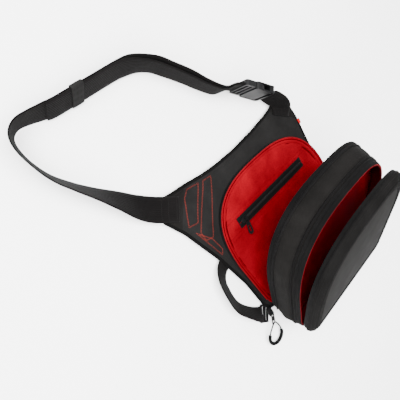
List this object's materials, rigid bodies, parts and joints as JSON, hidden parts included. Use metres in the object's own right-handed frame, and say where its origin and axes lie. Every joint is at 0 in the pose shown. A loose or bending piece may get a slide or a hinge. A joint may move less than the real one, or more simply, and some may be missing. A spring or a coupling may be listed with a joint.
{
  "type": "thigh bag",
  "caption": "Thigh bag lying open on its back: zipped D-shaped pouch with red lining, hinged lid with a second zipped pocket, waist belt with side-release buckle, leg strap.",
  "frame": {"origin": "centre of the back pad face that rests against the thigh or the floor, below the middle of the pouch", "axes": "+X across the bag, +Y up the body when worn, +Z away from the thigh"},
  "size_m": [0.4429, 0.5362, 0.1979],
  "materials": {
    "fabric": "coated polyester",
    "mesh": "spacer mesh",
    "red": "nylon lining",
    "webbing": "woven webbing",
    "zip": "zip tape",
    "zip_metal": "black lacquer",
    "cord": "braided cord",
    "grip": "matt",
    "buckle": "semi gloss",
    "keeper": "elastic",
    "thread": "thread",
    "red_tab": "woven tab",
    "moulded": "moulded foam shell",
    "film": "glossy film",
    "board": "foam board"
  },
  "bodies": {
    "root": {"wing_panel": "fabric", "panel_stiffener": "board", "back_pad_upper": "mesh", "back_pad_lower": "mesh", "edge_binding": "fabric", "left_wing_tab": "fabric", "right_wing_tab": "fabric", "rim_gusset": "fabric", "rim_lining": "red", "back_lining": "red", "inner_zip_tape": "zip", "inner_zip_coil": "zip", "main_zip_panel_tape": "zip", "main_zip_panel_teeth": "zip", "main_slider": "zip_metal", "hinge_tape": "fabric", "wing_motif": "thread", "side_tab": "red_tab", "belt_bartacks": "thread", "belt_webbing": "webbing", "belt_tail": "webbing", "buckle_male": "buckle", "buckle_female": "buckle", "buckle_anchor_webbing": "webbing", "leg_strap": "webbing", "leg_triglide": "buckle"},
    "lid": {"lid_zip_tape": "zip", "lid_zip_teeth": "zip", "lid_gusset": "fabric", "lid_lining": "red", "lid_divider": "red", "lid_piping": "fabric", "front_zip_lid_tape": "zip", "front_zip_lid_teeth": "zip", "front_pocket_lining": "red", "front_slider": "zip_metal"},
    "flap": {"flap_zip_tape": "zip", "flap_zip_teeth": "zip", "flap_gusset": "fabric", "flap_piping": "fabric", "flap_lining": "red", "moulded_panel": "moulded", "centre_film": "film"},
    "inner_slider": {"inner_slider": "zip_metal"},
    "inner_pull": {"inner_pull": "zip_metal"},
    "main_pull": {"main_pull_tab": "zip_metal", "main_pull_cord": "cord", "main_pull_grip": "grip"},
    "front_pull": {"front_pull_tab": "zip_metal", "front_pull_cord": "cord", "front_pull_grip": "grip"},
    "prong_upper": {"buckle_prong_upper": "buckle"},
    "prong_lower": {"buckle_prong_lower": "buckle"},
    "keeper": {"belt_keeper": "keeper"}
  },
  "joints": [
    {"name": "lid_hinge", "type": "hinge", "parent": "root", "child": "lid", "pos_m": [0, -0.1033, 0.0125], "axis": [1, 0, 0], "range_deg": [-32, 33]},
    {"name": "flap_hinge", "type": "hinge", "parent": "lid", "child": "flap", "pos_m": [0, -0.15036, 0.0463], "axis": [1, 0, 0], "range_deg": [-5.5, 50]},
    {"name": "inner_slide", "type": "slide", "parent": "root", "child": "inner_slider", "axis": [1, 0, 0], "range_m": [0, 0.15]},
    {"name": "inner_pull_pivot", "type": "hinge", "parent": "inner_slider", "child": "inner_pull", "pos_m": [-0.078, 0.051, 0.0139], "axis": [-1, 0, 0], "range_deg": [0, 150]},
    {"name": "main_pull_pivot", "type": "hinge", "parent": "root", "child": "main_pull", "pos_m": [-0.1335, -0.1045, 0.0157], "axis": [-1, 0, 0], "range_deg": [0, 45]},
    {"name": "front_pull_pivot", "type": "hinge", "parent": "lid", "child": "front_pull", "pos_m": [0.1178, -0.12773, 0.0582], "axis": [-1, 0, 0], "range_deg": [-13, 35]},
    {"name": "prong_upper_flex", "type": "hinge", "parent": "root", "child": "prong_upper", "pos_m": [0.04899, 0.21656, 0.0353], "axis": [0.6691, 0.7431, 0], "range_deg": [0, 6], "stiffness_Nm_per_rad": 1.2},
    {"name": "prong_lower_flex", "type": "hinge", "parent": "root", "child": "prong_lower", "pos_m": [0.04899, 0.21656, 0.0139], "axis": [-0.6691, -0.7431, 0], "range_deg": [0, 6], "stiffness_Nm_per_rad": 1.2},
    {"name": "keeper_slide", "type": "slide", "parent": "root", "child": "keeper", "axis": [1, 0, 0], "range_m": [-0.02, 0.05]}
  ],
  "couplings": [
    {"joint": "prong_lower_flex", "follows": "prong_upper_flex", "ratio": 1}
  ]
}
